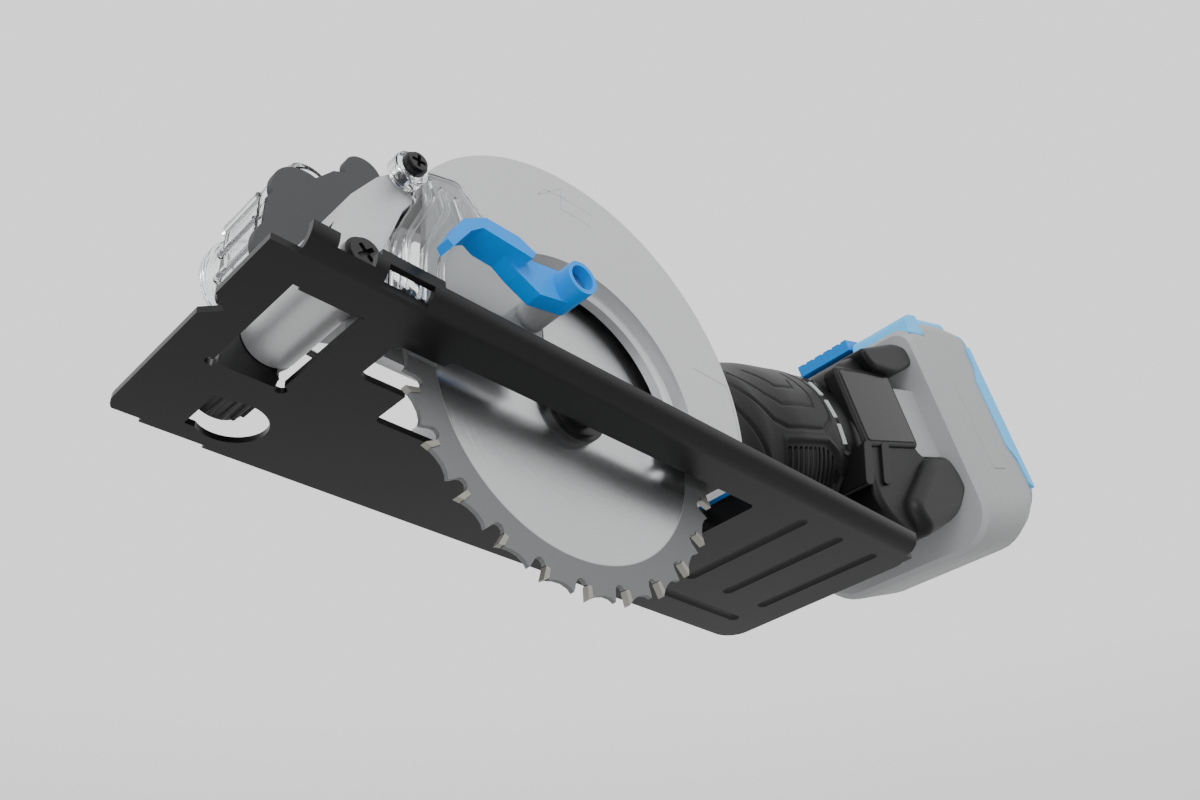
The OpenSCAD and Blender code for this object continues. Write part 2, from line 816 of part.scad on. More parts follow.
module outer_flange() {
    color("#2c2e31") difference() {
        union() {
            rod_y(0, arbor_z, flange_disc_r, body_t / 2, body_t / 2 + flange_t);
            rod_y(0, arbor_z, flange_disc_r - 1.4, body_t / 2, body_t / 2 + flange_t + 0.8);
        }
        rod_y(0, arbor_z, 3, 0, 8);
    }
}

module arbor_bolt() {
    y0 = body_t / 2 + flange_t + 0.8;
    color("#3a3c40") difference() {
        union() {
            rod_y(0, arbor_z, bolt_head_r, y0, y0 + 2);
            rod_y(0, arbor_z, 3, -12, y0 + e);
        }
        along_y(y0 + 0.6, y0 + 3) translate([0, arbor_z]) circle(3, $fn = 6);
    }
}

module spindle() {
    blade_far = -body_t / 2;
    color("#8d9094") difference() {
        union() {
            rod_y(0, arbor_z, spindle_neck_r, -guard_far, blade_far);
            rod_y(0, arbor_z, bore_d / 2, blade_far, body_t / 2 - 0.1);
            rod_y(0, arbor_z, spindle_d / 2, mesh_y - 1.2, -guard_far + e);
            rod_y(0, arbor_z, spindle_tail_r, needle_far + 0.4, mesh_y - 1.2 + e);
        }
        rod_y(0, arbor_z, 3, -12, 4);
    }
}

// Bevel gear on the spindle; its tooth spaces are grooves in the cone
module ring_gear() {
    depth = ring_back - mesh_y - gear_gap / 2;
    rise = gear_face / 2 * pinion_pitch / ring_pitch;
    color("#7d8085") difference() {
        translate([0, ring_back, arbor_z]) rotate([90, 0, 0]) rotate_extrude() polygon([
            [spindle_d / 2, 0], [ring_pitch + gear_face / 2, 0],
            [ring_pitch + gear_face / 2, depth - rise], [ring_pitch - gear_face / 2, depth + rise],
            [spindle_d / 2, depth + rise]
        ]);
        for (i = [0 : ring_teeth - 1]) translate([0, ring_back - depth - 0.4, arbor_z])
            rotate([0, i * 360 / ring_teeth, 0]) translate([ring_pitch, 0, 0])
                rotate([0, 0, atan(pinion_pitch / ring_pitch)]) cube([9, 2, 1.1], center = true);
    }
}

// --- motor ---------------------------------------------------------------------------------

module motor_shaft() {
    color("#9b9ea2") motor_frame() translate([0, 0, shaft_start])
        cylinder(r = motor_shaft_d / 2, h = shaft_end - shaft_start);
}

module pinion() {
    r_mid = pinion_pitch - gear_gap / 2;
    rise = gear_face / 2 * pinion_pitch / ring_pitch;
    color("#74777c") motor_frame() translate([0, 0, shaft_start]) difference() {
        rotate_extrude() polygon([
            [motor_shaft_d / 2, 0], [r_mid - rise, 0], [r_mid + rise, gear_face],
            [r_mid + rise, gear_face + 2], [motor_shaft_d / 2, gear_face + 2]
        ]);
        for (i = [0 : pinion_teeth - 1]) rotate([0, 0, i * 360 / pinion_teeth])
            translate([r_mid + 0.5, 0, gear_face / 2]) rotate([0, atan(pinion_pitch / ring_pitch), 0])
                cube([2, 0.9, 9], center = true);
    }
}

module rotor_core() {
    slots = 12;
    color("#5d4a3a") motor_frame() translate([0, 0, stator_s0 + 3]) difference() {
        cylinder(r = bore_r - 0.5, h = stator_s1 - stator_s0 - 6);
        translate([0, 0, -1]) cylinder(r = motor_shaft_d / 2, h = 100);
        for (i = [0 : slots - 1]) rotate([0, 0, i * 360 / slots])
            translate([bore_r - 1.5, -0.6, -1]) cube([3, 1.2, 100]);
    }
}

module cooling_fan() {
    vanes = 15;
    color("#1f2022") motor_frame() translate([0, 0, fan_s]) difference() {
        union() {
            cylinder(r = grip_r - shell_t - 2.4, h = 1.4);
            cylinder(r = 7, h = 6);
            for (i = [0 : vanes - 1]) rotate([0, 0, i * 360 / vanes])
                translate([8.5, -0.5, 0]) rotate([0, 0, 24]) cube([14, 1, 6]);
        }
        translate([0, 0, -1]) cylinder(r = motor_shaft_d / 2, h = 10);
    }
}

module front_bearing() {
    color("#a5a8ab")
        motor_ring(small_brg_od / 2, motor_shaft_d / 2 + run_c, neck_end - small_brg_w, neck_end);
}

module rear_bearing() {
    color("#a5a8ab")
        motor_ring(small_brg_od / 2, motor_shaft_d / 2 + run_c, shaft_end - small_brg_w, shaft_end);
}

module stator() {
    color("#6a6d70") motor_ring(stator_r, bore_r, stator_s0, stator_s1);
}

// --- grip ----------------------------------------------------------------------------------

module grip_solid(inset) {
    r = grip_r - inset;
    motor_frame() {
        translate([0, 0, grip_start + inset]) cylinder(r = r, h = foot_start - grip_start);
        translate([0, 0, foot_start - 4]) cylinder(r = r - 2, h = foot_s - foot_start - 4 - inset);
    }
}

module grip_half(side) {
    vents = 9;
    color("#1b1c1e") intersection() {
        difference() {
            union() {
                difference() {
                    grip_solid(0);
                    grip_solid(shell_t);
                }
                // ribs that hold the rear bearing
                motor_ring(grip_r - shell_t + 0.2, small_brg_od / 2, shaft_end - small_brg_w, shaft_end);
            }
            // front opening over the gear case neck
            motor_frame() cylinder(r = neck_r, h = neck_end + 1);
            // cooling vents
            for (i = [0 : vents - 1], s = [-1, 1]) motor_frame()
                translate([-9, s * grip_r, stator_s0 + 2 + i * 3.4]) cube([22, 12, 1.5], center = true);
            // seats of the gauge, the buttons and the screws
            motor_frame() translate([-11, grip_r - 1.8, gauge_s]) cube([22, 6, 5]);
            grip_screw_set(1.4, -3, 0);
            grip_screw_set(3, 0, 6);
            motor_frame() translate([-grip_r - 5, -6, trigger_s]) cube([15, 12, trigger_l]);
            motor_frame() translate([grip_r - 8, 0, lock_s]) rotate([0, 90, 0]) cylinder(r = 4.5, h = 20);
            motor_frame() translate([0, 0, foot_s - 8 - shell_t - 1]) cylinder(r = grip_r - 8, h = 20);
        }
        motor_frame() translate([-100, side > 0 ? 0 : -100, 0]) cube([200, 100, 300]);
    }
}

module grip_shell_near() {
    grip_half(1);
}

module grip_shell_far() {
    grip_half(-1);
}

module grip_collar() {
    color("#1d8fd6") motor_ring(grip_r - 2, neck_r, grip_start - 2.5, grip_start);
}

// Rods along -Y at the grip's screws, between two depths outside their seats
module grip_screw_set(r, d0, d1) {
    for (s = grip_screw_at, t = [-14, 14]) motor_frame()
        translate([t, -grip_r + 4.6 - d0, s]) rotate([90, 0, 0]) cylinder(r = r, h = d1 - d0);
}

module grip_screws() {
    color("#2a2b2d") difference() {
        union() {
            grip_screw_set(1.4, -3, e);
            grip_screw_set(2.6, 0, 2);
        }
        grip_screw_set(1, 1, 3);
    }
}

module badge_panel() {
    gap = 0.1;
    color("#0d0e10") motor_frame() translate([badge_t0 + gap, foot_w / 2 - badge_deep, badge_s + gap])
        cube([badge_t1 - badge_t0 - 2 * gap, badge_deep + 0.2, badge_l - 2 * gap]);
}

module gauge_bars() {
    color("#9ea2a5") motor_frame() for (i = [-1, 0, 1])
        translate([i * 6.6 - 2.8, grip_r - 1.8, gauge_s + 1]) cube([5.6, 1.4, 3]);
}

module foot_profile() {
    polygon([
        [26, foot_start], [31.5, foot_s + 14.5], [24, foot_s + 18], [neck_up + 1.5, foot_s],
        [neck_dn, foot_s], [neck_dn - 1, foot_s + 15.5], [-26, foot_s + 20], [-35.5, foot_s + 4],
        [-42.5, foot_start - 4], [-26, foot_start - 8]
    ]);
}

// Extrudes an outline drawn as [across, along the motor axis] over a width in Y
module across_motor(w) {
    motor_frame() translate([0, w / 2, 0]) rotate([90, 0, 0]) linear_extrude(w) children();
}

module battery_foot() {
    color("#1d1e20") difference() {
        across_motor(foot_w) foot_profile();
        // room for the grip, and the hollow behind the rails
        grip_solid(0);
        across_motor(foot_w - 2 * shell_t) polygon([
            [20, foot_start + 4], [22, foot_s - 6], [-26, foot_s - 6], [-26, foot_start + 4]
        ]);
        // rail grooves that the battery's head slides in
        across_motor(foot_w + 2) polygon([
            [neck_up + 4.5, foot_s + 4], [neck_up + 4.5, foot_s + 8.5], [neck_dn - 4.5, foot_s + 8.5],
            [neck_dn - 4.5, foot_s + 4]
        ]);
        motor_frame() translate([-8, -10, foot_s - 8]) cube([20, 20, 10]);
        motor_frame() translate([badge_t0, foot_w / 2 - badge_deep, badge_s])
            cube([badge_t1 - badge_t0, 5, badge_l]);
    }
}

module terminal_block() {
    color("#e0a030") motor_frame() for (t = contact_t) translate([t - 0.6, -8, foot_s - 4]) cube([1.2, 14, 7]);
    color("#2b2c2e") motor_frame() translate([-8, -10, foot_s - 8]) cube([20, 20, 4]);
}

module control_board() {
    color("#2f6b45") motor_frame() translate([-16, 5, shaft_end + 3]) cube([32, 1.6, 26]);
}

module trigger() {
    color("#1d8fd6") motor_frame() translate([0, 0, trigger_s + side_c]) difference() {
        union() {
            translate([-grip_r - 3.5, -5.7, 0]) cube([8, 11.4, trigger_l - 2 * side_c]);
            translate([-grip_r + 4.4, -5, 10]) cube([5, 10, 6]);
        }
        translate([-grip_r - 13.2, 0, trigger_l / 2]) rotate([90, 0, 0]) cylinder(r = 11, h = 14, center = true);
    }
}

module switch_body() {
    color("#3c3f42") motor_frame() translate([-grip_r + 12, -7, shaft_end]) cube([12, 12, 18]);
}

module lock_off_button() {
    color("#1d8fd6") motor_frame() translate([grip_r - 6, 0, lock_s]) rotate([0, 90, 0]) {
        cylinder(r = 4.5 - run_c, h = 8);
        translate([0, 0, -3]) cylinder(r = 6.5, h = 3);
    }
}

// Frame of the spindle lock: Z runs up through the gear case's top, over the ring gear
module lock_frame() {
    translate([0, (mesh_y - guard_far - brg_w) / 2, arbor_z]) rotate([0, 25, 0]) children();
}

module spindle_lock_button() {
    color("#26272a") lock_frame() {
        translate([0, 0, ring_pitch + gear_face / 2 + 1.6]) cylinder(r = 3, h = 12);
        translate([0, 0, case_r + 3]) cylinder(r = 5, h = 4);
    }
}

// --- battery -------------------------------------------------------------------------------

module batt_block(inset, s0, s1) {
    motor_frame() soft_block(
        batt_top - batt_l + inset, -batt_w / 2 + inset, s0, batt_top - inset, batt_w / 2 - inset, s1, 8
    );
}

module battery_case() {
    color("#b9bcbe") difference() {
        batt_block(0, batt_split, batt_s0 + batt_h);
        batt_block(shell_t, batt_split - 1, batt_s0 + batt_h - shell_t);
    }
}

module battery_cover() {
    rail_w = foot_w - 8;
    color("#7fc4ea") difference() {
        union() {
            batt_block(0, batt_s0, batt_split);
            across_motor(rail_w) polygon([
                [neck_up - side_c, foot_s + side_c], [neck_up - side_c, foot_s + 4 + side_c],
                [neck_up + 4, foot_s + 4 + side_c], [neck_up + 4, foot_s + 8], [neck_up - side_c, foot_s + 8],
                [neck_up - side_c, batt_s0 + e], [neck_dn + side_c, batt_s0 + e], [neck_dn + side_c, foot_s + 8],
                [neck_dn - 4, foot_s + 8], [neck_dn - 4, foot_s + 4 + side_c],
                [neck_dn + side_c, foot_s + 4 + side_c], [neck_dn + side_c, foot_s + side_c]
            ]);
        }
        batt_block(shell_t, batt_s0 + shell_t, batt_split + 1);
        // slots for the terminals, open toward the side the battery leaves
        for (t = contact_t) motor_frame() translate([t - 1.2, -60, foot_s - 1]) cube([2.4, 70, 5]);
        // pocket of the latch
        motor_frame() translate([batt_top - 5, -12, batt_s0 + 3]) cube([10, 24, 10]);
    }
}

module battery_cells() {
    cell_r = 9;
    cell_l = 65;
    pitch = 2 * cell_r + 0.6;
    rows = min(4, floor((batt_l - 2 * shell_t - 12) / pitch));
    color("#3f6fa8") motor_frame() for (i = [0 : rows - 1], j = [0 : 1])
        translate([batt_top - 12.5 - cell_r - i * pitch, -cell_l / 2, batt_s0 + 21 + j * pitch])
            rotate([-90, 0, 0]) cylinder(r = cell_r, h = cell_l);
}

module battery_contacts() {
    color("#c9a24a") motor_frame() for (t = contact_t) translate([t - 1.2, 7, foot_s + 0.5]) cube([2.4, 3, 3.4]);
}

module battery_latch() {
    color("#1d8fd6") motor_frame() translate([latch_t, -11.7, batt_s0 + 3.3]) difference() {
        cube([4.4, 23.4, 9.4]);
        for (i = [0 : 4]) translate([4, 3 + i * 4.2, -1]) cube([2, 1.2, 12]);
    }
}

base_plate();
stop_screw();
pivot_pin();
pivot_spacer();
clamp_knob();
return_spring();
upper_guard();
guard_rear_panel();
clear_cover();
cover_screws();
chute_plate();
dust_chute();
pivot_bush();
lever_post();
lock_lever();
lever_screw();
gear_case();
gear_case_cap();
cap_screws();
spindle_bearing_near();
spindle_bearing_far();
blade();
carbide_tips();
inner_flange();
outer_flange();
arbor_bolt();
spindle();
ring_gear();
motor_shaft();
pinion();
rotor_core();
cooling_fan();
front_bearing();
rear_bearing();
stator();
grip_shell_near();
grip_shell_far();
grip_collar();
grip_screws();
badge_panel();
gauge_bars();
battery_foot();
terminal_block();
control_board();
trigger();
switch_body();
lock_off_button();
spindle_lock_button();
battery_case();
battery_cover();
battery_cells();
battery_contacts();
battery_latch();
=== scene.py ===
import json
import math

import bmesh
import bpy
from mathutils import Matrix, Vector

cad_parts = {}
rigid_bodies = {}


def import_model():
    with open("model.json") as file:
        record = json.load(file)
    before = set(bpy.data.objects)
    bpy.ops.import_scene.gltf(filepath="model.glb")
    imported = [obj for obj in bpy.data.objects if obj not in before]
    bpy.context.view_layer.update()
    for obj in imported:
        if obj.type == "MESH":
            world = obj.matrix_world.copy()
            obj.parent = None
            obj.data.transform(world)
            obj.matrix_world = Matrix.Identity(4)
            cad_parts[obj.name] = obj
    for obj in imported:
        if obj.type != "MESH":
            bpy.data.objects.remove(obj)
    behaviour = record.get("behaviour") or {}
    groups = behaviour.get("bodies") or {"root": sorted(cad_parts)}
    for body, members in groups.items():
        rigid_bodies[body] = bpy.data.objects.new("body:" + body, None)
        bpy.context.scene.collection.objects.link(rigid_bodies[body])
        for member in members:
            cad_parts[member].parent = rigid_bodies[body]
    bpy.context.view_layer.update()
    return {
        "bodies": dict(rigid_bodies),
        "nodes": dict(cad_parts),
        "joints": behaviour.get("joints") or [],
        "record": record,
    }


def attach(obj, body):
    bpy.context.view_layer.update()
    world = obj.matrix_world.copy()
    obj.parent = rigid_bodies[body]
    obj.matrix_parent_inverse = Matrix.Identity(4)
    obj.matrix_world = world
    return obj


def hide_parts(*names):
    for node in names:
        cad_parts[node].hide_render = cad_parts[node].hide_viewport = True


MM = 0.001
TILT = math.radians(20.5)
AXIS_Z = 7.4
MOTOR_Y = -26.0
AX = Vector((-math.cos(TILT), 0, math.sin(TILT)))
UP = Vector((math.sin(TILT), 0, math.cos(TILT)))


def motor(t, y, s):
    """Row-frame point in mm from the motor frame: across, along Y from the axis, and along the axis."""
    return Vector((0, MOTOR_Y + y, AXIS_Z)) + AX * s + UP * t


def camera():
    data = bpy.data.cameras.new("camera")
    data.sensor_width = 36.0
    data.lens = 34.28
    obj = bpy.data.objects.new("camera", data)
    bpy.context.scene.collection.objects.link(obj)
    right = Vector((-0.72169, 0.68971, -0.05891)).normalized()
    up = Vector((0.36048, 0.44711, 0.81862)).normalized()
    back = right.cross(up).normalized()
    up = back.cross(right)
    m = Matrix((right, up, back)).transposed().to_4x4()
    m.translation = Vector((158.03, 163.03, -148.73)) * MM
    obj.matrix_world = m
    data.clip_start = 0.01
    bpy.context.scene.camera = obj


# --- materials ----------------------------------------------------------------------------

def material(name, color, rough=0.5, metal=0.0, coat=0.0, bump=0.0, scale=400.0, spec=0.5, transmission=0.0,
             alpha=1.0, ior=1.45, speckle=0.0):
    m = bpy.data.materials.new(name)
    m.use_nodes = True
    nt = m.node_tree
    b = nt.nodes["Principled BSDF"]
    b.inputs["Base Color"].default_value = (*color, 1)
    b.inputs["Roughness"].default_value = rough
    b.inputs["Metallic"].default_value = metal
    b.inputs["IOR"].default_value = ior
    b.inputs["Specular IOR Level"].default_value = spec
    b.inputs["Coat Weight"].default_value = coat
    b.inputs["Coat Roughness"].default_value = 0.12
    b.inputs["Transmission Weight"].default_value = transmission
    b.inputs["Alpha"].default_value = alpha
    if bump or speckle:
        tc = nt.nodes.new("ShaderNodeTexCoord")
        nz = nt.nodes.new("ShaderNodeTexNoise")
        nz.inputs["Scale"].default_value = scale
        nz.inputs["Detail"].default_value = 3
        nt.links.new(tc.outputs["Object"], nz.inputs["Vector"])
        if bump:
            bp = nt.nodes.new("ShaderNodeBump")
            bp.inputs["Strength"].default_value = bump
            bp.inputs["Distance"].default_value = 0.0003
            nt.links.new(nz.outputs["Fac"], bp.inputs["Height"])
            nt.links.new(bp.outputs["Normal"], b.inputs["Normal"])
        if speckle:
            mx = nt.nodes.new("ShaderNodeMix")
            mx.data_type = "RGBA"
            mx.inputs[6].default_value = (*[c * (1 - speckle) for c in color], 1)
            mx.inputs[7].default_value = (*[min(1, c * (1 + speckle)) for c in color], 1)
            nt.links.new(nz.outputs["Fac"], mx.inputs[0])
            nt.links.new(mx.outputs[2], b.inputs["Base Color"])
    return m


def blade_material(name, color):
    """Steel polished inside a ring and matt outside it, with a fine turned grain round the arbor."""
    m = material(name, color, 0.3, 1.0)
    nt = m.node_tree
    b = nt.nodes["Principled BSDF"]
    tc = nt.nodes.new("ShaderNodeTexCoord")
    shift = nt.nodes.new("ShaderNodeVectorMath")
    shift.operation = "SUBTRACT"
    shift.inputs[1].default_value = (0, 0, AXIS_Z * MM)
    nt.links.new(tc.outputs["Object"], shift.inputs[0])
    flat = nt.nodes.new("ShaderNodeVectorMath")
    flat.operation = "MULTIPLY"
    flat.inputs[1].default_value = (1, 0, 1)
    nt.links.new(shift.outputs[0], flat.inputs[0])
    radius = nt.nodes.new("ShaderNodeVectorMath")
    radius.operation = "LENGTH"
    nt.links.new(flat.outputs[0], radius.inputs[0])
    edge = nt.nodes.new("ShaderNodeMapRange")
    edge.inputs["From Min"].default_value = 0.0403
    edge.inputs["From Max"].default_value = 0.0407
    nt.links.new(radius.outputs["Value"], edge.inputs["Value"])
    grain = nt.nodes.new("ShaderNodeTexNoise")
    grain.noise_dimensions = "1D"
    grain.inputs["Scale"].default_value = 9000
    grain.inputs["Detail"].default_value = 2
    nt.links.new(radius.outputs["Value"], grain.inputs["W"])
    patches = nt.nodes.new("ShaderNodeTexNoise")
    patches.inputs["Scale"].default_value = 120
    patches.inputs["Detail"].default_value = 4
    nt.links.new(shift.outputs[0], patches.inputs["Vector"])
    tone = nt.nodes.new("ShaderNodeMix")
    tone.data_type = "RGBA"
    tone.inputs[6].default_value = (*color, 1)
    tone.inputs[7].default_value = (*[c * 0.40 for c in color], 1)
    nt.links.new(edge.outputs["Result"], tone.inputs[0])
    streak = nt.nodes.new("ShaderNodeMix")
    streak.data_type = "RGBA"
    streak.blend_type = "MULTIPLY"
    streak.inputs[0].default_value = 0.35
    nt.links.new(tone.outputs[2], streak.inputs[6])
    nt.links.new(grain.outputs["Fac"], streak.inputs[7])
    nt.links.new(streak.outputs[2], b.inputs["Base Color"])
    rough = nt.nodes.new("ShaderNodeMapRange")
    rough.inputs["To Min"].default_value = 0.26
    rough.inputs["To Max"].default_value = 0.62
    nt.links.new(edge.outputs["Result"], rough.inputs["Value"])
    nt.links.new(rough.outputs["Result"], b.inputs["Roughness"])
    bump = nt.nodes.new("ShaderNodeBump")
    bump.inputs["Strength"].default_value = 0.10
    bump.inputs["Distance"].default_value = 0.0002
    nt.links.new(grain.outputs["Fac"], bump.inputs["Height"])
    second = nt.nodes.new("ShaderNodeBump")
    second.inputs["Strength"].default_value = 0.05
    second.inputs["Distance"].default_value = 0.0002
    nt.links.new(patches.outputs["Fac"], second.inputs["Height"])
    nt.links.new(bump.outputs["Normal"], second.inputs["Normal"])
    nt.links.new(second.outputs["Normal"], b.inputs["Normal"])
    return m


def make_materials():
    return {
        "black_steel": material("black_steel", (0.004, 0.004, 0.0045), 0.33, 0.0, 0.0, 0.06, 1500,
            0.32, speckle=0.3),
        "black_oxide": material("black_oxide", (0.012, 0.012, 0.013), 0.35, 0.3, 0.0, 0.04, 700),
        "silver_casting": material("silver_casting", (0.50, 0.505, 0.515), 0.42, 0.75, 0.0, 0.18,
            1500, 0.5, speckle=0.08),
        "grey_casting": material("grey_casting", (0.42, 0.43, 0.45), 0.5, 0.7, 0.0, 0.25, 600),
        "clear_plastic": material("clear_plastic", (0.96, 0.98, 0.99), 0.04, 0.0, 0.0, 0.0, 1, 0.5,
            1.0, 1.0, 1.46),
        "dark_plate": material("dark_plate", (0.028, 0.029, 0.031), 0.62, 0.0, 0.0, 0.15, 900),
        "bronze": material("bronze", (0.45, 0.28, 0.12), 0.4, 0.9, bump=0.03),
        "satin_steel": material("satin_steel", (0.46, 0.47, 0.49), 0.32, 0.95, bump=0.03, scale=500),
        "blue_plastic": material("blue_plastic", (0.0, 0.20, 0.62), 0.45, 0.0, 0.0, 0.05, 900,
            0.25, speckle=0.05),
        "black_plastic": material("black_plastic", (0.012, 0.012, 0.013), 0.45, bump=0.05, scale=700),
        "blade_steel": blade_material("blade_steel", (0.62, 0.63, 0.64)),
        "carbide": material("carbide", (0.30, 0.29, 0.26), 0.4, 0.8, bump=0.1, scale=900),
        "motor_iron": material("motor_iron", (0.16, 0.15, 0.15), 0.6, 0.5, bump=0.1),
        "black_rubber": material("black_rubber", (0.0045, 0.0046, 0.005), 0.46, bump=0.2,
            scale=1800, spec=0.22, speckle=0.3),
        "gloss_black": material("gloss_black", (0.004, 0.004, 0.005), 0.16, bump=0.01, spec=0.25),
        "pale_plastic": material("pale_plastic", (0.27, 0.275, 0.28), 0.5, bump=0.08, scale=900,
            speckle=0.05),
        "sky_plastic": material("sky_plastic", (0.08, 0.42, 0.78), 0.45, bump=0.05, scale=900,
            spec=0.3, speckle=0.04),
        "board_green": material("board_green", (0.02, 0.12, 0.05), 0.4, bump=0.03),
        "cell_wrap": material("cell_wrap", (0.04, 0.12, 0.30), 0.3, bump=0.02),
    }


# --- lights and surroundings ---------------------------------------------------------------

def area(name, loc, target, size, power, color=(1, 1, 1)):
    data = bpy.data.lights.new(name, "AREA")
    data.shape = "RECTANGLE"
    data.size = size[0]
    data.size_y = size[1]
    data.energy = power
    data.color = color
    o = bpy.data.objects.new(name, data)
    bpy.context.scene.collection.objects.link(o)
    o.location = loc
    d = Vector(target) - Vector(loc)
    o.rotation_euler = d.to_track_quat("-Z", "Y").to_euler()


def surroundings():
    world = bpy.data.worlds.new("studio")
    bpy.context.scene.world = world
    world.use_nodes = True
    bg = world.node_tree.nodes["Background"]
    bg.inputs["Color"].default_value = (1, 1, 1, 1)
    nt = world.node_tree
    tc = nt.nodes.new("ShaderNodeTexCoord")
    split = nt.nodes.new("ShaderNodeSeparateXYZ")
    nt.links.new(tc.outputs["Generated"], split.inputs[0])
    sky = nt.nodes.new("ShaderNodeMapRange")
    sky.inputs["From Min"].default_value = -0.5
    sky.inputs["From Max"].default_value = 0.35
    sky.inputs["To Min"].default_value = 0.06
    sky.inputs["To Max"].default_value = 1.35
    nt.links.new(split.outputs["Z"], sky.inputs["Value"])
    nt.links.new(sky.outputs["Result"], bg.inputs["Strength"])
    bpy.ops.mesh.primitive_plane_add(size=6, location=(0, 0, -0.9))
    floor = bpy.context.object
    floor.name = "floor"
    m = material("floor_pale", (0.55, 0.55, 0.55), 0.9)
    floor.data.materials.append(m)


# --- mesh helpers --------------------------------------------------------------------------

def add_mesh(name, verts, faces, body, slot, mats, replaces=(), bevel=0.0, segments=2, angle=35):
    """Links a mesh given in mm, shades it by angle, bevels it and puts it on its body."""
    me = bpy.data.meshes.new(name)
    me.from_pydata([tuple(Vector(v) * MM) for v in verts], [], faces)
    me.validate()
    bm = bmesh.new()
    bm.from_mesh(me)
    bmesh.ops.remove_doubles(bm, verts=bm.verts, dist=1e-6)
    bmesh.ops.recalc_face_normals(bm, faces=bm.faces)
    bm.to_mesh(me)
    bm.free()
    o = bpy.data.objects.new(name, me)
    bpy.context.scene.collection.objects.link(o)
    me.materials.append(mats[slot])
    finish_piece(o, bevel, segments, angle)
    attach(o, body)
    if replaces:
        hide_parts(*replaces)
    return o


def add_bevel(o, width, segments, limit, keep_sharp):
    b = o.modifiers.new("bevel", "BEVEL")
    b.width = width * MM
    b.segments = segments
    b.limit_method = "ANGLE"
    b.angle_limit = math.radians(limit)
    w = o.modifiers.new("normals", "WEIGHTED_NORMAL")
    w.keep_sharp = keep_sharp
    return b


def finish_piece(o, bevel, segments=2, angle=35):
    """Shades a piece smooth up to an angle, and rounds its edges where a bevel is given."""
    for p in o.data.polygons:
        p.use_smooth = True
    o.data.set_sharp_from_angle(angle=math.radians(angle))
    if bevel:
        add_bevel(o, bevel, segments, 30, True).miter_outer = "MITER_ARC"


def prism(outline, lift, lo, hi):
    """Vertices and faces of an outline swept from lo to hi; lift(point, depth) gives the place."""
    n = len(outline)
    verts = [lift(p, lo) for p in outline] + [lift(p, hi) for p in outline]
    faces = [tuple(range(n)), tuple(range(2 * n - 1, n - 1, -1))]
    faces += [(i, i + n, (i + 1) % n + n, (i + 1) % n) for i in range(n)]
    return verts, faces


def row_lift(p, y):
    return Vector((p[0], y, p[1]))


def motor_lift(p, y):
    return motor(p[0], y, p[1])


def rounded(points, radius, steps=5):
    """The outline with its corners rounded by arcs, as a list of points."""
    out = []
    n = len(points)
    for i in range(n):
        a, b, c = (Vector(points[(i + k - 1) % n]) for k in range(3))
        u, v = (a - b), (c - b)
        r = radius[i] if isinstance(radius, (list, tuple)) else radius
        cut = min(r, u.length * 0.45, v.length * 0.45)
        p0, p1 = b + u.normalized() * cut, b + v.normalized() * cut
        for k in range(steps + 1):
            f = k / steps
            out.append(tuple((p0 * (1 - f) + b * f) * (1 - f) + (b * (1 - f) + p1 * f) * f))
    return out


def join(parts):
    verts, faces = [], []
    for v, f in parts:
        base = len(verts)
        verts += v
        faces += [tuple(i + base for i in face) for face in f]
    return verts, faces


def circle(cx, cz, radius, n):
    turn = 2 * math.pi / n
    return [(cx + radius * math.cos(turn * i), cz + radius * math.sin(turn * i)) for i in range(n)]


def tube(cx, cz, radius, y0, y1, inner, n=64):
    """A ring along Y."""
    ring = circle(cx, cz, radius, n)
    hole = circle(cx, cz, inner, n)
    verts = [row_lift(p, y) for y in (y0, y1) for p in ring + hole]
    faces = []
    for i in range(n):
        j = (i + 1) % n
        faces += [(i, j, j + 2 * n, i + 2 * n), (i + n, i + 3 * n, j + 3 * n, j + n),
                  (i, i + n, j + n, j), (i + 2 * n, j + 2 * n, j + 3 * n, i + 3 * n)]
    return verts, faces


# --- grip ----------------------------------------------------------------------------------

def smooth(x):
    x = max(0.0, min(1.0, x))
    return x * x * (3 - 2 * x)


def profile(table, s):
    for (s0, r0), (s1, r1) in zip(table, table[1:]):
        if s <= s1:
            return r0 + (r1 - r0) * smooth((s - s0) / (s1 - s0))
    return table[-1][1]


def to_line(s, a, line):
    """Distance in mm from a point of the unrolled grip to a polyline of [along, around] points."""
    best = 1e9
    for (s0, a0), (s1, a1) in zip(line, line[1:]):
        ds, da = s1 - s0, a1 - a0
        f = max(0.0, min(1.0, ((s - s0) * ds + (a - a0) * da) / (ds * ds + da * da)))
        best = min(best, math.hypot(s - s0 - f * ds, a - a0 - f * da))
    return best


GRIP_R = 29
GRIP_S0 = 64.0
GRIP_S1 = 161.0
# Place of the light bars, and how far the ring seam beside them bows rearward with the distance squared
GAUGE_S = 122.3
GAUGE_A = 4
RING_BOW = 0.010
# Radius of the grip against the distance along its axis
GRIP_BULGE = [
    (64, 25.2), (69, 27.4), (82, 29.4), (100, 30.8), (118, 30.4), (130, 29.4), (140, 28.6), (161, 27.4)
]
# Grooves and panel edges of the soft grip, as [along the axis, around the near side] in mm
CHEVRONS = [
    [(70, 20), (78, 9), (86, -1), (92, -3.5), (112, -3.5), (118, 0), (120, 8), (119, 22)],
    [(80, 18), (88, 8), (93, 4), (111, 4), (113.5, 9), (112, 20)],
    [(90, 20), (96, 11), (106, 11), (108, 15)],
]
BRIM = [(64, 13), (70, 6), (76, -4), (81, -14), (84, -28)]
VENT = [(89, -7), (113, -7), (118, -10), (123, -18), (118, -30), (89, -30), (89, -7)]


def inside(s, a, poly):
    hit = False
    for (s0, a0), (s1, a1) in zip(poly, poly[1:]):
        if (a0 > a) != (a1 > a) and s < (s1 - s0) * (a - a0) / (a1 - a0) + s0:
            hit = not hit
    return hit


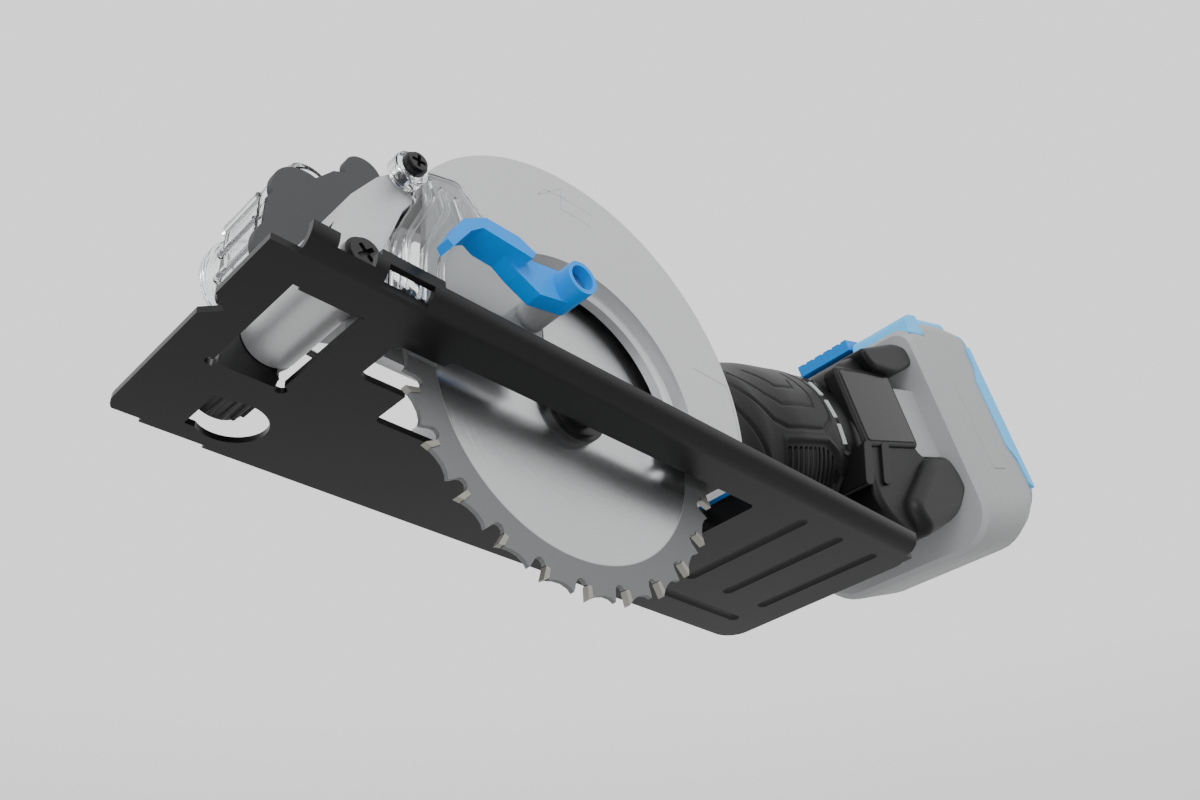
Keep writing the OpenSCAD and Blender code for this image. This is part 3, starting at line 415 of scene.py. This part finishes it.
def grip_height(s, a):
    """Relief of the soft grip: grooves, chevron panels and a vent grille, a mm round from the near side."""
    h = 0.0
    side = abs(a) if a < -45 or a > 45 else a
    for line in CHEVRONS[1:]:
        h -= 0.45 * smooth(1 - to_line(s, side, line) / 0.75)
    h -= 0.7 * smooth(1 - to_line(s, side, CHEVRONS[0]) / 0.9)
    h -= 0.8 * smooth(1 - to_line(s, side, BRIM) / 0.9)
    d = to_line(s, side, VENT)
    if inside(s, side, VENT):
        h -= 0.9 * smooth(d / 1.2)
        if d > 2.2 and 91 < s < 121:
            h -= 2.0 * smooth((math.sin((s - 91) * 2 * math.pi / 2.75) - 0.1) * 2.2)
    else:
        h += 0.35 * smooth(1 - d / 1.6)
    ring = 123.5 + RING_BOW * (side - GAUGE_A) ** 2
    if -60 < side < 60:
        h -= 0.7 * smooth(1 - abs(s - ring) / 0.9)
    if abs(a) > 45:
        fade = smooth((118 - s) / 4) * smooth((s - 72) / 4)
        h -= 0.25 * smooth((math.sin(s * 2 * math.pi / 3.6) - 0.4) * 2) * fade
    return h


def grip(mats):
    """The soft grip as one skin of revolution with its relief, closed by a flat ring at each end."""
    n_phi, n_s = 330, 210
    verts, faces = [], []
    for i in range(n_s + 1):
        s = GRIP_S0 + (GRIP_S1 - GRIP_S0) * i / n_s
        base = profile(GRIP_BULGE, s)
        for j in range(n_phi):
            phi = 2 * math.pi * j / n_phi - math.pi
            r = base + grip_height(s, phi * GRIP_R)
            verts.append(motor(r * math.sin(phi), r * math.cos(phi), s))
    for i in range(n_s):
        for j in range(n_phi):
            k = (j + 1) % n_phi
            faces.append((i * n_phi + j, i * n_phi + k, (i + 1) * n_phi + k, (i + 1) * n_phi + j))
    for i, r_in in ((0, 17.0), (n_s, 12.0)):
        base = len(verts)
        s = GRIP_S0 + (GRIP_S1 - GRIP_S0) * i / n_s
        for j in range(n_phi):
            phi = 2 * math.pi * j / n_phi - math.pi
            verts.append(motor(r_in * math.sin(phi), r_in * math.cos(phi), s))
        for j in range(n_phi):
            k = (j + 1) % n_phi
            faces.append((i * n_phi + j, i * n_phi + k, base + k, base + j))
    add_mesh("grip_skin", verts, faces, "saw_head", "black_rubber", mats, ["grip_shell_near", "grip_shell_far"],
             angle=50)


def foot(mats):
    """The battery foot with its two flared arms, the badge in its frame and two ribs under it."""
    core = rounded([(22, 137), (31, 174), (25, 181), (18, 171), (-10, 170.5), (-14, 181), (-32, 178), (-41.5, 140),
                    (-30, 128)], [8, 4, 4, 4, 6, 6, 8, 12, 8], 6)
    add_mesh("foot_core", *prism(core, motor_lift, -30.8, 30.6), "saw_head", "black_rubber", mats, ["battery_foot"],
             bevel=3.2, segments=5, angle=60)
    upper = rounded([(20, 156), (27, 152), (31.8, 181), (30.8, 189.5), (23.5, 190), (18.5, 173)],
                    [4, 6, 4, 4, 4, 6], 6)
    lower = rounded([(-13, 172), (-12.5, 186), (-20, 190), (-27, 190), (-35.5, 177), (-42.3, 146), (-30, 142)],
                    [6, 5, 6, 6, 10, 10, 10], 6)
    for name, outline in (("upper", upper), ("lower", lower)):
        add_mesh("foot_arm_" + name, *prism(outline, motor_lift, -34.8, 34.8), "saw_head", "black_rubber", mats,
                 bevel=4.4, segments=6, angle=70)
    frame = rounded([(-9.4, 133.5), (20.4, 133.5), (20.4, 172), (-9.4, 172)], 3.5, 5)
    add_mesh("badge_frame", *prism(frame, motor_lift, 26, 31.4), "saw_head", "black_rubber", mats, bevel=1.0,
             segments=3, angle=60)
    face = rounded([(-7.4, 136), (18.6, 136), (18.6, 170), (-7.4, 170)], 1.5, 4)
    add_mesh("badge_face", *prism(face, motor_lift, 31, 31.7), "saw_head", "gloss_black", mats, ["badge_panel"],
             bevel=0.25, angle=60)
    for i, s in enumerate((135, 147)):
        rib = rounded([(-7.5, s - 2.6), (-7.5, s + 2.6), (-23, s - 7.5), (-23, s - 13)], 2.4, 5)
        add_mesh("foot_rib_%d" % i, *prism(rib, motor_lift, 20, 31.6), "saw_head", "black_rubber", mats, bevel=2.2,
                 segments=4, angle=60)


def on_grip(a, s, r):
    """A point of the grip at a mm round from its near side, on a radius; the gauge's rows bow along the axis."""
    phi = a / GRIP_R
    return motor(r * math.sin(phi), r * math.cos(phi), s + RING_BOW * (a - GAUGE_A) ** 2)


def gauge(mats):
    """Framed slot with three light bars, curved with the grip."""
    n = 40
    half_a, half_s = 15.5, 2.9
    ring = []
    for k in range(n):
        cx, sx = math.cos(2 * math.pi * k / n), math.sin(2 * math.pi * k / n)
        a = (half_a - half_s) * (1 if sx > 0 else -1) + half_s * sx
        ring.append((a + GAUGE_A, GAUGE_S + half_s * cx))
    verts = [on_grip(a, s, r) for r in (27.0, 30.4) for a, s in ring]
    faces = [tuple(range(n)), tuple(range(2 * n - 1, n - 1, -1))]
    faces += [(i, i + n, (i + 1) % n + n, (i + 1) % n) for i in range(n)]
    add_mesh("gauge_frame", verts, faces, "saw_head", "black_rubber", mats, bevel=0.4, angle=60)
    verts, faces = [], []
    bar = ((-1.1, -3.3), (1.1, -3.3), (1.1, 3.3), (-1.1, 3.3))
    for c in (-8.6, 0, 8.6):
        base = len(verts)
        verts += [on_grip(c + da + GAUGE_A, GAUGE_S + ds, r) for ds, da in bar for r in (28.5, 30.7)]
        faces += [tuple(base + i for i in (1, 3, 5, 7)), tuple(base + i for i in (6, 4, 2, 0))]
        for i in range(0, 8, 2):
            j = (i + 2) % 8
            faces.append((base + i, base + j, base + j + 1, base + i + 1))
    add_mesh("gauge_lights", verts, faces, "saw_head", "pale_plastic", mats, ["gauge_bars"], bevel=0.3, angle=60)


# --- battery -------------------------------------------------------------------------------

def battery_ring(s, t_lo, t_hi, half, r, steps=8):
    """One cross-section of the battery across the motor axis, rounder at its lower end."""
    pts = []
    top = r * 0.45
    for ct, cy, q, a0 in (
        (t_hi - top, half - top, top, 0), (t_lo + r, half - r, r, 90), (t_lo + r, r - half, r, 180),
        (t_hi - top, top - half, top, 270)
    ):
        for k in range(steps + 1):
            a = math.radians(a0 + 90 * k / steps)
            pts.append(motor(ct + q * math.cos(a), cy + q * math.sin(a), s))
    return pts


def battery_loft(name, sections, slot, mats, replaces=()):
    """A closed piece of the battery through sections of (along, lower end, upper end, half width, radius)."""
    rings = [battery_ring(*row) for row in sections]
    n = len(rings[0])
    verts = [v for ring in rings for v in ring]
    faces = [tuple(range(n)), tuple(range(len(verts) - 1, len(verts) - n - 1, -1))]
    for i in range(len(rings) - 1):
        a, b = i * n, (i + 1) * n
        faces += [(a + k, b + k, b + (k + 1) % n, a + (k + 1) % n) for k in range(n)]
    add_mesh(name, verts, faces, "battery", slot, mats, replaces, angle=28)


def cells(mats):
    """Two rows of four round cells, placed clear of the case's rounded corners."""
    cell_r, half, pitch = 8.8, 27, 18.2
    parts = []
    for i in range(4):
        for j in range(2):
            parts.append(prism(circle(27 - i * pitch, 211 + j * pitch, cell_r, 40), motor_lift, -half, half))
    add_mesh("cell_pack", *join(parts), "battery", "cell_wrap", mats, ["battery_cells"], bevel=0.5)


def battery(mats):
    """The slide-on battery: front, shell and blue tail lofted across the motor axis, with its trim."""
    battery_loft("battery_front", [
        (191.6, -44.2, 37.8, 35.8, 14), (193.2, -45.9, 39.4, 37.3, 15), (195, -46.4, 39.9, 37.7, 15.5),
        (204.6, -46.4, 39.9, 37.7, 15.5), (205.1, -45.9, 39.4, 37.2, 15)
    ], "pale_plastic", mats, ["battery_cover"])
    # shoulders on both sides of the latch's channel
    shoulder = rounded([(36, 193), (44.7, 196), (44.7, 205.2), (36, 205.2)], [1, 4, 1, 1], 5)
    for name, y0, y1 in (("near", 12.4, 37.2), ("far", -37.2, -12.4)):
        add_mesh("battery_shoulder_" + name, *prism(shoulder, motor_lift, y0, y1), "battery", "sky_plastic", mats,
                 bevel=2.6, segments=4, angle=60)
    battery_loft("battery_shell", [
        (205.1, -45.9, 44.2, 37.2, 15), (205.6, -46.4, 44.7, 37.7, 15.5), (226, -46.4, 44.6, 37.7, 15.5),
        (236, -42.6, 43.6, 37.5, 15), (242.5, -38.4, 42.4, 37.0, 14.5)
    ], "pale_plastic", mats, ["battery_case"])
    battery_loft("battery_tail", [
        (242.3, -38.8, 42.7, 37.3, 14.5), (246.5, -34, 41.6, 36.2, 14), (250.6, -27, 39.6, 33.5, 13),
        (252.6, -20, 36, 30, 11)
    ], "sky_plastic", mats)
    rail = rounded([(15.6, 170.6), (15.6, 192), (-11.6, 192), (-11.6, 170.6)], 1, 3)
    add_mesh("battery_rail", *prism(rail, motor_lift, -29, 29), "battery", "pale_plastic", mats, bevel=0.8, angle=60)
    # blue cap on the end that carries the latch, ribbed for the fingers
    battery_loft("battery_cap", [
        (205.6, 31, 45.6, 34.5, 7), (206.4, 30, 46.4, 35.5, 8), (232, 30, 46.4, 35.5, 8), (237, 31, 44.6, 33, 7)
    ], "sky_plastic", mats)
    for i in range(5):
        s = 208 + i * 5.2
        bar = rounded([(46.0, s), (47.2, s + 0.8), (47.2, s + 2.6), (46.0, s + 3.4)], 0.6, 3)
        add_mesh("battery_ridge_%d" % i, *prism(bar, motor_lift, -22, 22), "battery", "sky_plastic", mats, bevel=0.4,
                 angle=60)
    chevron = [(34, 243.5), (34, 240), (24, 239), (18, 234.5), (-10, 234.5), (-16, 239), (-26, 240), (-28, 243.5)]
    step = [(19, 212), (19, 217), (14, 219), (-8, 219), (-14, 224), (-20, 224), (-20, 212)]
    for name, y0, y1 in (("near", 36.6, 38.0), ("far", -38.0, -36.6)):
        add_mesh("battery_chevron_" + name, *prism(rounded(chevron, 1.0, 3), motor_lift, y0, y1), "battery",
                 "sky_plastic", mats, bevel=0.3, angle=60)
        add_mesh("battery_step_" + name, *prism(rounded(step, 2.0, 4), motor_lift, y0, y1), "battery",
                 "pale_plastic", mats, bevel=0.5, angle=60)


# --- clear parts, collar and guard ---------------------------------------------------------

def clear_parts(mats):
    """The cover with its ribs and screw boss, and the chip chute with its port."""
    outline = [
        (57.5, 44.5), (41.5, 49.5), (31.5, 41), (22.5, 30), (16, 21), (15.6, 6.0), (58.2, 6.0), (58.4, 22), (55.4, 30),
        (52.8, 36.4)
    ]
    plate = prism(rounded(outline, 2, 3), row_lift, 7.7, 9.6)
    add_mesh("cover_plate", *plate, "saw_head", "clear_plastic", mats,
             ["clear_cover"], bevel=0.5, angle=50)
    for i, d in enumerate((1.2, 6.0, 11.0)):
        path = [(57.6 - d, 7), (57.6 - d, 22), (54.4 - d, 30), (51.6 - d, 37), (53 - d * 0.9, 43)]
        inner = [(x - 1.3, z) for x, z in reversed(path)]
        add_mesh("cover_rib_%d" % i, *prism(rounded(path + inner, 1.2, 3), row_lift, 9.4, 11.4 - 0.5 * i), "saw_head",
                 "clear_plastic", mats, bevel=0.45, segments=2, angle=50)
    add_mesh("cover_boss", *tube(56, 42.5, 4.4, 8.0, 11.9, 1.6, 48), "saw_head", "clear_plastic", mats,
             bevel=0.4, angle=50)
    # chute: hollow box with a rounded outline, its port tube and a rim
    box = rounded([(70.3, 34.4), (70.3, 60), (62.6, 76), (58, 77.6), (32, 69.5), (32, 30.4)], [3, 5, 5, 3, 4, 4], 4)
    inner = rounded([(68.5, 36), (68.5, 59.2), (61.4, 74.2), (57.6, 75.6), (33.8, 68), (33.8, 32.4)],
                    [3, 5, 5, 3, 4, 4], 4)
    n = len(box)
    verts = [row_lift(p, y) for y in (-32.5, -50.0) for p in box]
    verts += [row_lift(p, y) for y in (-32.5, -48.2) for p in inner]
    faces = []
    for i in range(n):
        j = (i + 1) % n
        faces += [(i, j, j + n, i + n), (i + 2 * n, i + 3 * n, j + 3 * n, j + 2 * n), (i, i + 2 * n, j + 2 * n, j)]
    faces += [tuple(range(n, 2 * n)), tuple(range(4 * n - 1, 3 * n - 1, -1))]
    add_mesh("chute_box", verts, faces, "saw_head", "clear_plastic", mats,
             ["dust_chute"], bevel=0.6, angle=50)
    add_mesh("chute_port", *tube(54.5, 56, 14, -64, -49.9, 12, 64), "saw_head", "clear_plastic", mats,
             bevel=0.5, angle=50)
    add_mesh("chute_rim", *tube(54.5, 56, 15.2, -64, -60.5, 13.9, 64), "saw_head", "clear_plastic", mats,
             bevel=0.4, angle=50)
    for i, z in enumerate((41, 49, 57)):
        rib = rounded([(69.9, z), (71.2, z + 0.6), (71.2, z + 2.4), (69.9, z + 3)], 0.5, 3)
        add_mesh("chute_rib_%d" % i, *prism(rib, row_lift, -50, -33), "saw_head", "clear_plastic", mats, bevel=0.3,
                 angle=50)


def collar(mats):
    """Blue ring that shows between the guard and the grip."""
    n = 96
    ring = []
    for s, r in ((61.0, 25.6), (61.0, 28.2), (64.6, 28.6), (64.6, 25.6)):
        ring.append([motor(x, y, s) for y, x in circle(0, 0, r, n)])
    verts = [v for loop in ring for v in loop]
    faces = []
    for i in range(4):
        for k in range(n):
            a, b = i * n + k, i * n + (k + 1) % n
            c, d = ((i + 1) % 4) * n + (k + 1) % n, ((i + 1) % 4) * n + k
            faces.append((a, b, c, d))
    add_mesh("collar_ring", verts, faces, "saw_head", "blue_plastic", mats, bevel=0.4)


def engraving(mats):
    """Thin raised lines of the direction arrow on the guard's near face, as arcs round the guard's centre."""
    def arc(r, a0, a1, n=24):
        return [(0.5 + r * math.cos(math.radians(a0 + (a1 - a0) * k / n)),
                 18 + r * math.sin(math.radians(a0 + (a1 - a0) * k / n))) for k in range(n + 1)]
    line = arc(50.5, 96, 76) + [(14.5, 64.0), (6.2, 71.5)] + arc(46.0, 82, 96)
    parts = []
    for (x0, z0), (x1, z1) in zip(line, line[1:]):
        d = Vector((x1 - x0, z1 - z0))
        if d.length < 0.01:
            continue
        w = Vector((-d.y, d.x)).normalized() * 0.13
        quad = [(x0 + w.x, z0 + w.y), (x1 + w.x, z1 + w.y), (x1 - w.x, z1 - w.y), (x0 - w.x, z0 - w.y)]
        parts.append(prism(quad, row_lift, 7.9, 8.03))
    add_mesh("guard_arrow", *join(parts), "saw_head", "grey_casting", mats)


def bevel_nodes(nodes):
    """Breaks the edges of the CAD pieces that are shown as they are."""
    for n, width, segments in (
        ("base_plate", 0.35, 2), ("upper_guard", 0.9, 3), ("guard_rear_panel", 0.2, 2), ("chute_plate", 0.4, 2),
        ("lever_post", 0.3, 2), ("gear_case", 0.6, 2), ("gear_case_cap", 0.5, 2), ("clamp_knob", 0.3, 2),
        ("outer_flange", 0.25, 2), ("arbor_bolt", 0.25, 2), ("pivot_pin", 0.25, 2), ("grip_collar", 0.5, 2),
        ("blade", 0.08, 1), ("carbide_tips", 0.08, 1), ("battery_latch", 0.4, 2), ("trigger", 0.6, 2),
        ("lock_lever", 0.5, 3), ("lock_off_button", 0.5, 2), ("spindle_lock_button", 0.5, 2),
    ):
        add_bevel(nodes[n], width, segments, 38, False)


def main():
    camera()
    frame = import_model()
    mats = make_materials()
    slot_of = {p["node"]: p["material_slot"] for p in frame["record"]["subparts"]}
    for n, o in frame["nodes"].items():
        o.data.materials.clear()
        o.data.materials.append(mats[slot_of[n]])
    post_grey = material("post_grey", (0.34, 0.345, 0.35), 0.5, 0.35, bump=0.08, scale=1500)
    frame["nodes"]["lever_post"].data.materials[0] = post_grey
    bevel_nodes(frame["nodes"])
    grip(mats)
    foot(mats)
    gauge(mats)
    battery(mats)
    cells(mats)
    clear_parts(mats)
    collar(mats)
    engraving(mats)
    surroundings()
    area("key", (0.5, 0.9, 0.6), (0, 0, 0), (0.5, 0.5), 10)
    area("under", (0.7, 0.5, -0.35), (0, 0, 0), (0.25, 0.9), 5)


main()
